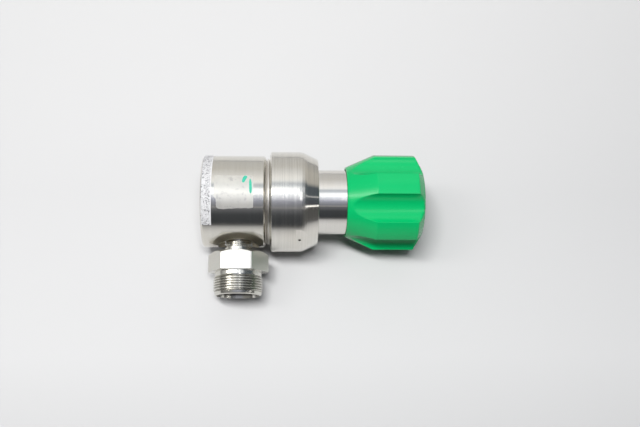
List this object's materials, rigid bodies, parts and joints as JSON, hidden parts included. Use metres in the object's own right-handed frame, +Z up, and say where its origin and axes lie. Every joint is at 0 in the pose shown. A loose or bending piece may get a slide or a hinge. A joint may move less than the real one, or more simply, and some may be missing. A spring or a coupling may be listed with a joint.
{
  "type": "flow control valve",
  "caption": "Stainless spring-loaded flow control valve: round body with a hex side fitting, clamp ring, bonnet neck and a fluted hand knob that turns its load screw.",
  "frame": {"origin": "middle of the footprint, on the surface that the valve lies on", "axes": "+X along the main axis towards the knob, -Y towards the side fitting, +Z up with the valve lying on its clamp ring and fitting"},
  "size_m": [0.1342, 0.091, 0.062],
  "materials": {
    "body_steel": "fine turned stainless",
    "ring_steel": "fine turned stainless",
    "neck_steel": "polished turned stainless",
    "fitting_steel": "machined stainless",
    "plain_steel": "machined stainless",
    "ball_steel": "polished",
    "black_steel": "black oxide",
    "spring_steel": "drawn wire",
    "seal_rubber": "moulded",
    "seat_plastic": "machined",
    "slip_plastic": "cut from sheet",
    "sintered_bronze": "porous",
    "insert_brass": "turned",
    "knob_green": "moulded, satin",
    "band_foil": "matt metallised film",
    "paper_cream": "worn paper"
  },
  "bodies": {
    "valve": {"valve_body": "body_steel", "bottom_plug": "plain_steel", "plug_o_ring": "seal_rubber", "main_seat": "seat_plastic", "seat_o_ring": "seal_rubber", "seat_retainer": "plain_steel", "inlet_filter": "sintered_bronze", "inlet_fitting": "fitting_steel", "diaphragm": "plain_steel", "slip_ring": "slip_plastic", "bonnet": "neck_steel", "clamp_ring": "ring_steel", "load_spring": "spring_steel", "poppet_spring": "spring_steel", "band_label": "band_foil", "paper_label": "paper_cream"},
    "valve_stem": {"poppet": "plain_steel", "poppet_damper": "slip_plastic", "diaphragm_plate": "plain_steel", "lower_spring_button": "plain_steel"},
    "load_carriage": {"upper_spring_button": "plain_steel", "thrust_ball": "ball_steel"},
    "hand_knob": {"knob": "knob_green", "knob_insert": "insert_brass", "adjusting_screw": "plain_steel", "stop_ring": "black_steel", "knob_washer": "plain_steel", "knob_screw": "black_steel", "knob_cap": "knob_green"}
  },
  "joints": [
    {"name": "screw_travel", "type": "slide", "parent": "valve", "child": "load_carriage", "axis": [-1, 0, 0], "range_m": [0, 0.0075], "deforming": ["load_spring"]},
    {"name": "knob_turn", "type": "hinge", "parent": "load_carriage", "child": "hand_knob", "pos_m": [0.0202, 0.01447, 0.031], "axis": [-1, 0, 0], "range_deg": [0, 2160]},
    {"name": "poppet_lift", "type": "slide", "parent": "valve", "child": "valve_stem", "axis": [-1, 0, 0], "range_m": [0, 0.0008], "stiffness_N_per_m": 2000, "springref_m": -0.002, "deforming": ["poppet_spring", "diaphragm"]}
  ],
  "couplings": [
    {"joint": "knob_turn", "follows": "screw_travel", "rad_per_m": 5026.5}
  ]
}
